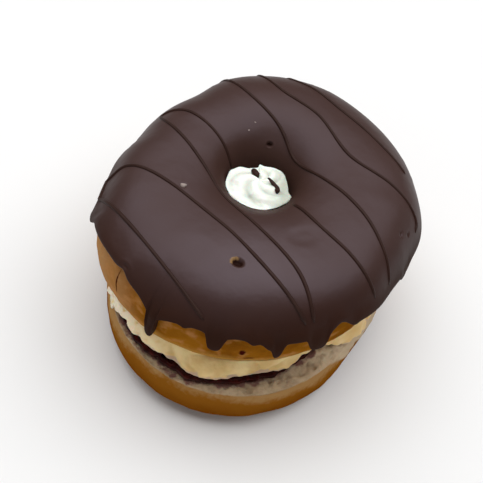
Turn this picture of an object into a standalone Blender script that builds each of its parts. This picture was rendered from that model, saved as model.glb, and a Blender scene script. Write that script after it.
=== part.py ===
"""A cream-filled ring doughnut, in metres with +Z up.

The ring is split in two. The lower half lies on the flat it was fried on, and its cut crumb carries a
layer of jam, then a layer of cream that closes the hole. The upper half sits on the cream. Chocolate
icing with drips covers it and coats its hole, thin lines of chocolate lie over the icing, and a swirl
of whipped cream stands in the hole. The origin is on the ground, under the middle of the whole.

Shapes are worked out in directions round the hole, where 0 degrees is +X and 90 degrees is +Y. The
front, with the widest view of the filling, is at -90 degrees.
"""

import bmesh
import bpy
import numpy as np

# Driving dimensions
MIDDLE = (-0.0006, 0.0046)  # the axis of the hole on the ground

ICED_RADIUS = 0.0480  # mean radius of the iced half, before its lobes
ICED_LOBES = ((1, 0.0036, -92), (2, 0.0028, 62), (3, 0.0012, -19), (4, 0.0004, 19))
ICED_FLATS = (  # depth, direction and half width
    (0.0022, -168, 14), (0.0015, 170, 10), (0.0018, 134, 11), (0.0016, -27, 12), (0.0009, -12, 8),
    (-0.0006, -146, 10),
)
LOWER_RADIUS = 0.0455
LOWER_LOBES = ((1, 0.0062, -92), (2, 0.0031, 76), (3, 0.0010, -8))
LOWER_FLATS = ((0.0014, -150, 20), (-0.0021, -88, 30), (0.0020, -34, 18))
HOLE_RADIUS = 0.0089  # inside the icing, at its narrowest
HOLE_LOBES = ((1, 0.0024, 178),)

WAIST_HEIGHT = 0.0378  # where the iced half is widest
CROWN_RISE = 0.0159  # from there up to the crown
UNDER_RISE = 0.0190  # and down to where its curve would close, below the cut
UPPER_CUT = 0.0276  # height of the iced half's cut face
LOWER_WAIST = 0.0086
LOWER_DROP = 0.0090  # a little more than the waist's height, which leaves a flat to lie on
LOWER_RISE = 0.0197
LOWER_CUT = 0.0172
OUTER_FULLNESS = 2.2  # exponent of the section's curve: 2 is an ellipse, more is squarer
UNDER_FULLNESS = 2.5  # the same below the waist, with its lobes: squarer at the left
UNDER_LOBES = ((1, 0.8, -150),)
INNER_FULLNESS = 2.45  # and at the hole: squarer at the front
INNER_LOBES = ((1, 0.55, -90),)
LOWER_FULLNESS = 2.6

GAP = 0.00035  # between neighbouring pieces
ICING = 0.0014  # thickness of the icing
JAM = 0.0026  # thickness of the jam
CREASE = 50  # degrees between two faces, past which their edge is sharp


def lobed(angle, mean, lobes):
    """Radius of an uneven round outline: its mean plus cosine lobes (count, height, direction)."""
    waves = (height * np.cos(count * (angle - np.radians(toward))) for count, height, toward in lobes)
    return mean + sum(waves)


def hump(angle, toward, half_width, bluntness=2):
    """A smooth rise to 1 round one direction, both in degrees: exp(-(distance / half width)^bluntness)."""
    away = (angle - np.radians(toward) + np.pi) % (2 * np.pi) - np.pi
    return np.exp(-np.abs(away / np.radians(half_width)) ** bluntness)


def dented(angle, radius, dents):
    """A radius less its dents, each a hump (depth, direction, half width)."""
    return radius - sum(depth * hump(angle, toward, width) for depth, toward, width in dents)


def ease(value, start, stop):
    """0 before the start, 1 after the stop, and a smooth step between them."""
    share = np.clip((value - start) / (stop - start), 0, 1)
    return share**2 * (3 - 2 * share)


def curve_through(points, step):
    """Evenly spaced points along a smooth (Catmull-Rom) curve through the given ones."""
    ends = (2 * points[0] - points[1], 2 * points[-1] - points[-2])
    knots = np.vstack((ends[0], points, ends[1]))
    share = np.linspace(0, 1, 24, endpoint=False)[:, None]
    parts = []
    for a, b, c, d in zip(knots, knots[1:], knots[2:], knots[3:]):
        bend = (2 * a - 5 * b + 4 * c - d) * share**2 + (3 * b - a - 3 * c + d) * share**3
        parts.append(b + 0.5 * ((c - a) * share + bend))
    fine = np.vstack((*parts, points[-1:]))
    along = np.concatenate(((0,), np.cumsum(np.linalg.norm(np.diff(fine, axis=0), axis=1))))
    even = np.linspace(0, along[-1], max(2, round(along[-1] / step)) + 1)
    return np.stack([np.interp(even, along, column) for column in fine.T], axis=-1)


def traced(angle, corners):
    """Distance from the hole's axis to a smooth closed outline, given as directions and millimetres."""
    corners = np.array(corners, float)
    round_once = np.array((360, 0))
    outline = curve_through(np.vstack((corners[-2:] - round_once, corners, corners[:2] + round_once)), 1.0)
    return np.interp((np.degrees(angle) - corners[0, 0]) % 360 + corners[0, 0], *outline.T) / 1000


def directions(count):
    return np.arange(count) * 2 * np.pi / count


def section(turn, inner, outer, fullness):
    """The squared-off ring section |u|^p + |w|^p = 1, as distance from the hole's axis and height w.

    The turn goes round the section: 0 is the outer side, 90 degrees the crown, 180 the hole's side.
    """
    span = (np.abs(np.cos(turn)) ** fullness + np.abs(np.sin(turn)) ** fullness) ** (-1 / fullness)
    return (outer + inner) / 2 + (outer - inner) / 2 * np.cos(turn) * span, np.sin(turn) * span


def iced_outline(angle):
    """The iced half's widest outline, at the icing's own surface."""
    return dented(angle, lobed(angle, ICED_RADIUS, ICED_LOBES), ICED_FLATS)


def hole_fullness(angle):
    return lobed(angle, INNER_FULLNESS, INNER_LOBES)


def under_fullness(angle):
    return lobed(angle, UNDER_FULLNESS, UNDER_LOBES)


def iced_surface(angle, turn, depth):
    """A point of the iced half's skin, some depth under the icing's own surface: (distance, height)."""
    outer_side = np.where(turn < 0, under_fullness(angle), OUTER_FULLNESS)
    fullness = outer_side + (hole_fullness(angle) - outer_side) * ((1 - np.cos(turn)) / 2) ** 2
    inner = lobed(angle, HOLE_RADIUS, HOLE_LOBES) + depth
    reach, lift = section(turn, inner, iced_outline(angle) - depth, fullness)
    return reach, WAIST_HEIGHT + lift * (np.where(lift > 0, CROWN_RISE, UNDER_RISE) - depth)


def placed(angle, reach, height):
    """Points from a direction, a distance from the hole's axis and a height."""
    angle, reach, height = np.broadcast_arrays(angle, reach, height)
    return np.stack((MIDDLE[0] + reach * np.cos(angle), MIDDLE[1] + reach * np.sin(angle), height), axis=-1)


def solid(name, loops, material, closed=False):
    """A closed mesh through loops of points that all go round the same way.

    The loops run up the outside. When closed, the last one joins the first. Otherwise the first and
    the last are shut with a fan round their middle. Each four-sided face starts at an end of its shorter
    diagonal, where it is split, so faces of stacked layers are split alike.
    """
    mesh = bmesh.new()
    rings = [[mesh.verts.new(point) for point in loop] for loop in loops]
    for lower, upper in zip(rings, rings[1:] + rings[:1] if closed else rings[1:]):
        for k, vert in enumerate(lower):
            corners = (lower[k - 1], vert, upper[k], upper[k - 1])
            shorter = (corners[0].co - corners[2].co).length < (corners[1].co - corners[3].co).length
            mesh.faces.new(corners if shorter else corners[1:] + corners[:1])
    for ring in [] if closed else (rings[0][::-1], rings[-1]):
        middle = mesh.verts.new(np.mean([vert.co for vert in ring], axis=0))
        for k, vert in enumerate(ring):
            mesh.faces.new((ring[k - 1], vert, middle))
    data = bpy.data.meshes.new(name)
    mesh.to_mesh(data)
    mesh.free()
    data.shade_smooth()
    data.set_sharp_from_angle(angle=np.radians(CREASE))
    data.materials.append(material)
    piece = bpy.data.objects.new(name, data)
    bpy.context.scene.collection.objects.link(piece)
    return piece


def finish(name, colour, roughness):
    material = bpy.data.materials.new(name)
    material.use_nodes = True
    shader = material.node_tree.nodes["Principled BSDF"]
    shader.inputs["Base Color"].default_value = (*colour, 1)
    shader.inputs["Roughness"].default_value = roughness
    return material


for old in list(bpy.data.objects):
    bpy.data.objects.remove(old)

# Lower half: a fried bun half, with a rough cut face that is torn up into a soft heap at the right
LAYER_COLUMNS = 64  # the lower half, jam and cream share their directions, so their faces stay apart
LOWER_TURNS = (-30, -58, -79, -101, -145)  # degrees, from under the outer waist inwards
CRUMB_LIFT = 0.0008  # the cut face is a little higher inside its edge
CRUMB_WAVES = ((7, 0.00022, 10), (11, 0.00020, 40))
CRUMB_RIM = 0.0004  # width of the slope between crust and cut face
TORN_TOWARD = -46
TORN_HALF_WIDTH = 16
TORN_RISE = 0.0042
TORN_REACH = (0.0300, 0.0370, 0.0425, 0.0475)  # the heap starts, is full, begins to fall, ends

# Distances at which the cut face, the jam and the cream have their rows of points, so that these match
LAYER_HOLE = 0.0120
LAYER_MIDDLE = 0.0300
LAYER_SHOULDER = 0.0050  # inside the jam's edge, as the next three are
JAM_UNDERSIDE = 0.0004
JAM_ROUNDING = 0.0008
CREAM_LAST = 0.0016
DROOP_SHARE = 0.4  # of the bare crumb beyond the jam, where cream that hangs over its edge comes to lie
DROOP_MOST = 0.0016
RIM_CLEARANCE = 0.0008  # of the cream's foot from the edge of the lower half

# Outlines of the layers, as directions in degrees and distances from the hole's axis in millimetres
JAM_BRIM = (
    (-180, 39.5), (-165, 41.3), (-154, 44.0), (-144, 47.0), (-135.6, 49.8), (-127.5, 51.4), (-120, 52.9),
    (-113, 52.8), (-107, 53.4), (-100, 53.9), (-92, 52.8), (-84, 50.9), (-79.5, 50.1), (-74, 48.0), (-69, 46.4),
    (-65, 45.5), (-61, 44.4), (-57, 42.9), (-51, 40.8), (-42, 39.2), (-28, 39.0), (-12, 40.6), (6, 41.0),
    (26, 38.6), (50, 37.1), (74, 37.6), (98, 39.4), (122, 38.2), (146, 36.4), (164, 37.3),
)
CREAM_FOOT = (
    (-180, 38.6), (-165, 40.2), (-154, 42.6), (-146, 45.8), (-141, 49.0), (-137, 51.1), (-133.5, 50.3),
    (-129, 49.8), (-122, 51.4), (-115, 51.6), (-108, 51.6), (-100, 53.2), (-90.6, 51.8), (-86, 49.7),
    (-80, 48.4), (-74, 47.3), (-69, 46.3), (-65, 44.5), (-61, 43.6), (-57, 42.2), (-52, 43.1), (-46, 44.4),
    (-40, 44.8), (-33, 44.3), (-26, 42.8), (-15, 41.0), (0, 40.4), (20, 38.4), (45, 36.2), (70, 36.6),
    (98, 38.6), (122, 37.4), (146, 35.6), (164, 36.6),
)


def lower_skin(angle, turn):
    """A point of the lower half's crust: distance from the hole's axis, and height, never below ground."""
    outline = dented(angle, lobed(angle, LOWER_RADIUS, LOWER_LOBES), LOWER_FLATS)
    reach, lift = section(turn, HOLE_RADIUS, outline, LOWER_FULLNESS)
    return reach, np.maximum(LOWER_WAIST + lift * np.where(lift > 0, LOWER_RISE, LOWER_DROP), 0)


def crumb_height(angle, reach):
    """Height of the cut face: level, waved, and heaped up where it is torn."""
    start, full, fall, end = TORN_REACH
    along = ease(reach, start, full) * (1 - ease(reach, fall, end))
    heap = TORN_RISE * along * hump(angle, TORN_TOWARD, TORN_HALF_WIDTH)
    return LOWER_CUT + CRUMB_LIFT + lobed(angle, 0, CRUMB_WAVES) + heap


def layer_rows(angle, brim):
    """Distances of a layer's rows of points, the last of them a brim inside the jam's edge."""
    edge = traced(angle, JAM_BRIM)
    return LAYER_HOLE, LAYER_MIDDLE, edge - LAYER_SHOULDER, edge - brim


def cut_turn(height, waist, rise, fullness):
    """How far round the section, from the outer waist, its curve reaches a height."""
    lift = abs(height - waist) / rise
    return np.arctan2(height - waist, rise * (1 - lift**fullness) ** (1 / fullness))


def lower_rim(angle):
    """Distance of the edge of the cut face, and how far round the section it is."""
    turn = cut_turn(LOWER_CUT, LOWER_WAIST, LOWER_RISE, LOWER_FULLNESS)
    return lower_skin(angle, turn)[0], turn


def bare_crumb(angle):
    """Distances of two rows beyond the jam: where hanging cream comes to lie, and the cream's foot if it is
    further out than that, or else halfway to the rim. The third is the cream's foot itself."""
    rim = lower_rim(angle)[0]
    edge = traced(angle, JAM_BRIM)
    foot = np.minimum(traced(angle, CREAM_FOOT), rim - RIM_CLEARANCE)
    lies = edge + np.minimum(DROOP_MOST, DROOP_SHARE * (rim - CRUMB_RIM - edge))
    beyond = np.where(foot > lies + CRUMB_RIM, foot, (lies + rim - CRUMB_RIM) / 2)
    return lies, beyond, foot


def lower_half():
    angle = directions(LAYER_COLUMNS)
    rim, top = lower_rim(angle)
    turns = (np.pi - top, np.pi, *np.radians(LOWER_TURNS[::-1]), 0, top / 2, top)
    crust = [placed(angle, *lower_skin(angle, turn)) for turn in turns]
    lies, beyond, _ = bare_crumb(angle)
    rows = layer_rows(angle, JAM_UNDERSIDE)[::-1]
    hole = lower_skin(angle, np.pi - top)[0]
    face = (rim - CRUMB_RIM, beyond, lies, *rows, hole + CRUMB_RIM)
    crumb = [placed(angle, reach, crumb_height(angle, reach)) for reach in face]
    return solid("bottom_bun", crust + crumb, finish("fried_dough", (0.25, 0.12, 0.035), 0.6), closed=True)


lower_half()


# Jam: one spoonful spread over the crumb, with a scalloped edge
JAM_WIDEST = 0.4  # share of its thickness at which its edge stands out most


def jam_top(angle, reach):
    return crumb_height(angle, reach) + GAP + JAM


def jam_layer():
    angle = directions(LAYER_COLUMNS)
    edge = traced(angle, JAM_BRIM)
    under = layer_rows(angle, JAM_UNDERSIDE)
    over = layer_rows(angle, JAM_ROUNDING)[::-1]
    loops = [placed(angle, reach, crumb_height(angle, reach) + GAP) for reach in under]
    loops.append(placed(angle, edge, crumb_height(angle, edge) + GAP + JAM * JAM_WIDEST))
    loops += [placed(angle, reach, jam_top(angle, reach)) for reach in over]
    return solid("jam", loops, finish("jam", (0.03, 0.003, 0.006), 0.15), closed=True)


jam_layer()

# Cream layer: piped over the jam and pressed flat by the upper half, closed across the hole. At the left
# and the right its foot hangs over the jam's edge and lies on the crumb.
CREAM_SETBACK = 0.0036  # its upper edge, measured from the iced half's outline
CREAM_HOLLOWS = ((0.0014, -58, 10), (0.0012, 30, 35), (0.0010, 110, 30), (0.0034, -157, 15))
CREAM_STEP = 0.0003  # least distance between its last rows
CREAM_PLUG = 0.0080  # radius of the part that sags into the hole of the lower half
CREAM_SAG = 0.0150  # its lowest height
CREAM_SIDE = ((0, 0, 0.08), (0.3, 0.0012, 0.45), (1, 0, 0.96))  # share inwards, bulge, share up
CREAM_TOP_EDGE = 0.0010  # width of the slope at the top of its side


def cream_floor(angle, reach):
    """Height of the cream's underside: on the jam, and on the crumb where it hangs over the jam's edge."""
    edge = traced(angle, JAM_BRIM)
    lies = bare_crumb(angle)[0]
    on_jam = 1 - ease(reach, (edge + lies) / 2, lies)
    return crumb_height(angle, reach) + GAP + (JAM + GAP) * on_jam


def cream_layer():
    angle = directions(LAYER_COLUMNS)
    ceiling = UPPER_CUT - GAP
    lies, _, low = bare_crumb(angle)
    high = dented(angle, iced_outline(angle) - CREAM_SETBACK, CREAM_HOLLOWS)
    floor = cream_floor(angle, low)
    *under, last = layer_rows(angle, CREAM_LAST)
    under.append(np.minimum(last, low - 3 * CREAM_STEP))
    under.append(np.minimum((traced(angle, JAM_BRIM) + lies) / 2, low - 2 * CREAM_STEP))
    under.append(np.minimum(lies, low - CREAM_STEP))
    loops = [placed(angle, CREAM_PLUG, CREAM_SAG)]
    loops += [placed(angle, reach, cream_floor(angle, reach)) for reach in under]
    for share, bulge, lift in CREAM_SIDE:
        loops.append(placed(angle, low + (high - low) * share + bulge, floor + (ceiling - floor) * lift))
    loops += [placed(angle, reach, ceiling) for reach in (high - CREAM_TOP_EDGE, HOLE_RADIUS)]
    return solid("cream_filling", loops, finish("cream", (0.62, 0.44, 0.22), 0.5))


cream_layer()

# Upper half: bare crust at the side, a flat cut face below, hidden by the icing above
UPPER_COLUMNS = 48
UPPER_STEPS = 13
UPPER_GAP = 0.0007  # under the icing, so that their faces, which don't match, stay apart
CUT_ROWS = (0.3, 0.7)  # rows of points across the cut face, as shares of its width


def upper_half():
    angle = directions(UPPER_COLUMNS)
    depth = ICING + UPPER_GAP
    start = cut_turn(UPPER_CUT, WAIST_HEIGHT, UNDER_RISE - depth, under_fullness(angle))
    stop = np.pi - cut_turn(UPPER_CUT, WAIST_HEIGHT, UNDER_RISE - depth, hole_fullness(angle))
    skin = [iced_surface(angle, turn, depth) for turn in np.linspace(start, stop, UPPER_STEPS)]
    loops = [placed(angle, *point) for point in skin]
    loops[0][:, 2] = loops[-1][:, 2] = UPPER_CUT
    inner, outer = skin[-1][0], skin[0][0]
    loops += [placed(angle, inner + (outer - inner) * share, UPPER_CUT) for share in CUT_ROWS]
    return solid("top_bun", loops, finish("crust", (0.22, 0.10, 0.03), 0.55), closed=True)


upper_half()

# Icing: a set coat of chocolate, thicker along its lower edge, with drips that ran down the side
ICING_COLUMNS = 86
ICING_STEPS = (13, 11)  # rows of its outer and its inner face
EDGE_TURN = 20  # degrees round the section from the outer waist up to the icing's edge
EDGE_SWELLS = (  # rise of the edge, direction and half width, all in degrees, as the turns are
    (3, -129, 2.2), (13, -134.5, 20), (4, -101, 6), (3, -89, 4), (-2.5, -70, 7), (7.5, -56.3, 3.2),
    (-12, -22, 22), (-14, 12, 26), (-6, 150, 30),
)
DRIPS = (  # direction, half width, drop and bluntness
    (-154.5, 3.4, 10, 4), (-114.9, 1.6, 27, 9), (-114.6, 4.2, 8, 2), (-104.9, 1.3, 2.5, 2),
    (-95.5, 2.6, 16.5, 5), (-84.6, 1.5, 3, 2), (-78.4, 3.0, 8, 3), (-77.0, 1.6, 11, 4), (-64.1, 3.3, 15.5, 6),
    (-51.3, 1.8, 2.5, 2), (-18, 3, 12, 4), (24, 3.5, 22, 6), (47, 2.5, 12, 4), (76, 3.5, 26, 6),
    (98, 2.5, 14, 4), (121, 4, 28, 6), (146, 3, 16, 4), (172, 3.5, 26, 6),
)
DRIP_SHARE = 0.4  # the part of the coat, from its edge up, whose rows bend down into the drips
DRIP_STANDOFF = 0.0004  # how much thinner the coat is in a drip, which hangs a little clear of the crust
DEEP_DRIP = 20  # the drop at which it stands off in full
CROWDING = 2.4  # how much closer the columns stand in drips, in full at the next value
CROWDING_DROP = 12
HOLE_TURN = 204  # where the coat ends inside the hole, give or take the next value
HOLE_WAVE = 3
EDGE_BEAD = 0.0007  # extra thickness at the lower edge
BEAD_WIDTH = 9
LIP_TURN = 2.5  # how far the rounded lips reach past the outer face


def drip_drop(angle):
    """Degrees that the drips hang below the icing's level, as blunt fingers."""
    return sum(drop * hump(angle, toward, width, bluntness) for toward, width, drop, bluntness in DRIPS)


def icing_turn(angle, share):
    """Degrees round the section, from the icing's lower edge at share 0 to its end in the hole at 1."""
    level = EDGE_TURN + sum(change * hump(angle, toward, width) for change, toward, width in EDGE_SWELLS)
    end = HOLE_TURN + HOLE_WAVE * np.sin(3 * angle)
    return level + (end - level) * share - drip_drop(angle) * max(1 - share / DRIP_SHARE, 0) ** 1.5


def icing_directions(count):
    """Directions round the ring that crowd together where the drips are."""
    fine = np.linspace(-np.pi, np.pi, 2881)
    crowding = 1 + CROWDING * np.clip(drip_drop(fine) / CROWDING_DROP, 0, 1)
    along = np.concatenate(((0,), np.cumsum((crowding[1:] + crowding[:-1]) / 2)))
    return np.interp(np.arange(count) / count * along[-1], along, fine)


def icing_coat():
    angle = icing_directions(ICING_COLUMNS)
    shares = [np.linspace(0, 1, steps) for steps in ICING_STEPS]
    outside, inside = ([icing_turn(angle, share) for share in face] for face in shares)
    rows = [(outside[0] - LIP_TURN, (ICING - EDGE_BEAD) / 2)]
    rows += [(turn, -EDGE_BEAD * np.exp(-(((turn - outside[0]) / BEAD_WIDTH) ** 2))) for turn in outside]
    rows.append((outside[-1] + LIP_TURN, ICING / 2))
    thickness = ICING - DRIP_STANDOFF * np.clip(drip_drop(angle) / DEEP_DRIP, 0, 1)
    rows += [(turn, thickness) for turn in inside[::-1]]
    loops = [placed(angle, *iced_surface(angle, np.radians(turn), depth)) for turn, depth in rows]
    return solid("icing", loops, finish("chocolate", (0.035, 0.020, 0.017), 0.35), closed=True)


# Drizzle: lines of chocolate from a fine nozzle that swept to and fro over the iced ring.
# Each strand is its route seen from above, in millimetres from the hole's axis.
STRANDS = (
    ((-9, -49.2), (-14.3, -45.3), (-23.5, -37.6), (-37.3, -25.4), (-43.9, -18.8), (-45.9, -14.4),
     (-43.3, -9.6), (-38, -8.4), (-23.6, -14.9), (-8.4, -24.2), (7.1, -36.8), (16.9, -44.2)),
    ((18.9, -43), (12.1, -32.8), (-0.5, -20.9), (-11.1, -11.7), (-20.5, -1.7), (-34.2, 11.8),
     (-34, 15.6), (-27.6, 15.3), (-17.3, 9), (-11.4, 4.2)),
    ((8, -8.4), (16.1, -16.8), (25.5, -23.8), (34.3, -30.3)),
    ((-22, 37.5), (-11, 26.8), (-0.2, 18.4), (6.4, 9.9), (14.9, 2.1), (26.3, -8), (34.9, -18.5),
     (38.4, -24)),
    ((-10.5, 41.5), (-1.8, 31.6), (10.7, 24.3), (22, 10.6), (35.5, 4), (43.6, -1.4), (44.6, -5)),
    ((-1, 41), (9.5, 35.6), (23.4, 25.1), (39, 11.8)),
)
STRAND_WIDTH = 0.0011
STRAND_HEIGHT = 0.00045
STRAND_ROOT = 0.0008  # how far it is set into the icing
STRAND_STEP = 0.0060
STRAND_MARGIN = 4  # degrees that a line stays up from the icing's lower edge


def on_icing(plan):
    """Points and outward normals of the icing's surface above a route seen from the top."""
    angle = np.arctan2(plan[:, 1], plan[:, 0])
    reach = np.linalg.norm(plan, axis=1)
    turns = np.radians(np.arange(0, 181))
    tables = [iced_surface(one, turns, 0)[0] for one in angle]
    turn = np.array([np.interp(-far, -table, turns) for far, table in zip(reach, tables)])
    turn = np.maximum(turn, np.radians(icing_turn(angle, 0) + STRAND_MARGIN))
    nudge = 1e-4  # radians, for the surface's slopes
    point = placed(angle, *iced_surface(angle, turn, 0))
    around = placed(angle + nudge, *iced_surface(angle + nudge, turn, 0)) - point
    over = placed(angle, *iced_surface(angle, turn + nudge, 0)) - point
    normal = np.cross(around, over)
    return point, normal / np.linalg.norm(normal, axis=1, keepdims=True)


def drizzle_strand(name, route, material):
    """A low ridge along a route: a top edge, two sides and a root sunk in the icing."""
    point, normal = on_icing(curve_through(np.array(route) / 1000, STRAND_STEP))
    side = np.cross(np.gradient(point, axis=0), normal)
    side *= STRAND_WIDTH / 2 / np.linalg.norm(side, axis=1, keepdims=True)
    rows = (point + normal * STRAND_HEIGHT, point - side, point - normal * STRAND_ROOT, point + side)
    return solid(name, np.stack(rows, axis=1), material)


def iced_and_drizzled():
    icing = icing_coat()
    drizzle = bpy.data.collections.new("drizzle")
    bpy.context.scene.collection.children.link(drizzle)
    for number, route in enumerate(STRANDS):
        strand = drizzle_strand(f"strand_{number}", route, icing.data.materials[0])
        bpy.context.scene.collection.objects.unlink(strand)
        drizzle.objects.link(strand)
    union = icing.modifiers.new("drizzle", "BOOLEAN")
    union.operation = "UNION"
    union.operand_type = "COLLECTION"
    union.collection = drizzle
    union.solver = "EXACT"
    apply_modifiers(icing)
    for strand in list(drizzle.objects):
        bpy.data.objects.remove(strand)
    bpy.data.collections.remove(drizzle)


def apply_modifiers(piece):
    evaluated = piece.evaluated_get(bpy.context.evaluated_depsgraph_get())
    data = bpy.data.meshes.new_from_object(evaluated)
    piece.modifiers.clear()
    piece.data = data


iced_and_drizzled()

# Swirl: whipped cream piped into the hole. It follows the hole's wall at the left and the front, parts from
# it at the back right, and ends in soft turning ridges under a low top.
SWIRL_COLUMNS = 36
SWIRL_BASE = UPPER_CUT + GAP
SWIRL_TURNS = (205, 150)  # how far round the section its side follows the hole's wall, foot and brim
SWIRL_SLACK = 0.0008  # clear of the wall
SWIRL_PARTING = 0.3  # the share of its side, from the foot up, that stays at the wall all round
SWIRL_BRIM = (  # as directions and distances from the hole's axis in mm; at the front the wall limits it
    (-190, 11.4), (-176, 12.3), (-160, 12.6), (-140, 12.4), (-115, 11.2), (-90, 10.2), (-65, 9.2), (-45, 8.6),
    (-27, 8.5), (-15, 6.6), (0, 6.1), (28, 6.2), (52, 6.9), (66, 7.0), (95, 6.8), (108, 7.1), (116, 7.9),
    (124, 6.9), (142, 8.0), (153, 9.5),
)
SWIRL_SIDE = (0, 0.25, 0.5, 0.75, 1)  # rows up its side
SWIRL_CAP = (0.75, 0.45, 0.15)  # and in over its top, as shares of the way from its middle to its brim
SWIRL_RISE = 0.0018  # of the top above the brim
SWIRL_RIDGES = 5
SWIRL_DEPTH = 0.0008  # of the grooves between them
SWIRL_GROOVE = -83  # direction of one groove at the brim
SWIRL_TWIST = 110  # degrees that a groove turns from the brim to the middle
SWIRL_MIDDLE = (-0.0026, -0.0005)


def swirl_side(angle, climb):
    """A point of the swirl's side, from its foot at climb 0 to its brim at 1: (distance, height)."""
    foot, brim = SWIRL_TURNS
    parting = iced_surface(angle, np.radians(brim), 0)[0] - traced(angle, SWIRL_BRIM)
    reach, height = iced_surface(angle, np.radians(foot + (brim - foot) * climb), 0)
    height = np.where(climb > 0, height, SWIRL_BASE)
    return reach - np.maximum(parting * ease(climb, SWIRL_PARTING, 1), SWIRL_SLACK), height


def swirl():
    angle = directions(SWIRL_COLUMNS)
    loops = [placed(angle, *swirl_side(angle, climb)) for climb in SWIRL_SIDE]
    brim = loops[-1]
    middle = np.array((MIDDLE[0] + SWIRL_MIDDLE[0], MIDDLE[1] + SWIRL_MIDDLE[1], brim[:, 2].mean()))
    for share in SWIRL_CAP:
        turned = np.radians(SWIRL_GROOVE - SWIRL_TWIST * (1 - share))
        crest = np.abs(np.sin(SWIRL_RIDGES / 2 * (angle - turned)))
        lift = SWIRL_RISE * (1 - share**2) + 4 * SWIRL_DEPTH * share * (1 - share) * (crest - 1)
        loops.append(middle + (brim - middle) * share + lift[:, None] * np.array((0, 0, 1)))
    return solid("cream_swirl", loops, finish("whipped_cream", (0.80, 0.85, 0.76), 0.45))


swirl()
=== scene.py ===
"""A cream-filled ring doughnut: its fried halves, jam, cream, chocolate icing and whipped swirl.

Everything is in metres with +Z up. Shapes are worked out in directions round the hole, where 0 degrees is
+X and 90 degrees is +Y. The widest view of the filling is at the front, at -90 degrees.
"""

import bpy
import numpy as np
from mathutils import Matrix, Vector


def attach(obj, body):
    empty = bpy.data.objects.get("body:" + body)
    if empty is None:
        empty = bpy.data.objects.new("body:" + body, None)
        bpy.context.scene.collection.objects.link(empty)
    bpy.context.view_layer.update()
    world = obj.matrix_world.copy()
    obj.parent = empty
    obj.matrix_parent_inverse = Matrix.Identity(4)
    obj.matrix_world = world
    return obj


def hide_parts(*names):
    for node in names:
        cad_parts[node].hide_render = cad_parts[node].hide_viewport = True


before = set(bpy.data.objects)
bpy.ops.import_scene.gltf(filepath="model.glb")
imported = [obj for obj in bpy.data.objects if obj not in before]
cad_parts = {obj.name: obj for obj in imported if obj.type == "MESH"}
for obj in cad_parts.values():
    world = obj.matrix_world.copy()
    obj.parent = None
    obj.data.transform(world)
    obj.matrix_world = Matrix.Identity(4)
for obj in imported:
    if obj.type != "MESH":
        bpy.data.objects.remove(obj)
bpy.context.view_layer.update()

# Camera and room: the doughnut is seen from the front and well above, by a camera that leans to its left.
# It stands on a pale floor in a dim room, under a broad soft lamp above and behind it and a faint one in
# front.
HOLE = np.array((-0.0006, 0.0046, 0))  # the axis of the hole on the ground
AIM = HOLE + (-0.0039, 0, 0.0156)
DISTANCE = 0.268
ELEVATION, LEAN = np.radians((54, 12.4))
LENS = 62.385  # millimetres, on a sensor of 36
LAMPS = (  # name, place, width, depth, watts
    ("ceiling_lamp", (0.02, 0.33, 1.20), 2.7, 1.35, 30),
    ("front_lamp", (-0.35, -1.15, 0.65), 2.2, 1.4, 4),
)
ROOM_GREY = 0.12
FLOOR_GREY = 0.84
FLOOR_SIZE = 6

ahead = np.array((0, np.cos(ELEVATION), -np.sin(ELEVATION)))
level_up = np.array((0, np.sin(ELEVATION), np.cos(ELEVATION)))
right = np.cos(LEAN) * np.array((1, 0, 0)) + np.sin(LEAN) * level_up
up = np.cross(right, ahead)
camera = bpy.data.objects.new("camera", bpy.data.cameras.new("camera"))
camera.data.lens = LENS
camera.data.clip_start = 0.01
camera.matrix_world = Matrix((*np.column_stack((right, up, -ahead, AIM - DISTANCE * ahead)), (0, 0, 0, 1)))
bpy.context.scene.collection.objects.link(camera)
bpy.context.scene.camera = camera

for name, place, width, depth, watts in LAMPS:
    lamp = bpy.data.objects.new(name, bpy.data.lights.new(name, "AREA"))
    lamp.data.shape = "RECTANGLE"
    lamp.data.size = width
    lamp.data.size_y = depth
    lamp.data.energy = watts
    lamp.location = place
    lamp.rotation_euler = Vector(place - AIM).to_track_quat("Z", "Y").to_euler()
    bpy.context.scene.collection.objects.link(lamp)

room = bpy.data.worlds.new("room")
room.use_nodes = True
room.node_tree.nodes["Background"].inputs["Color"].default_value = (ROOM_GREY, ROOM_GREY, ROOM_GREY, 1)
bpy.context.scene.world = room
bpy.context.scene.view_settings.view_transform = "Standard"


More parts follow.
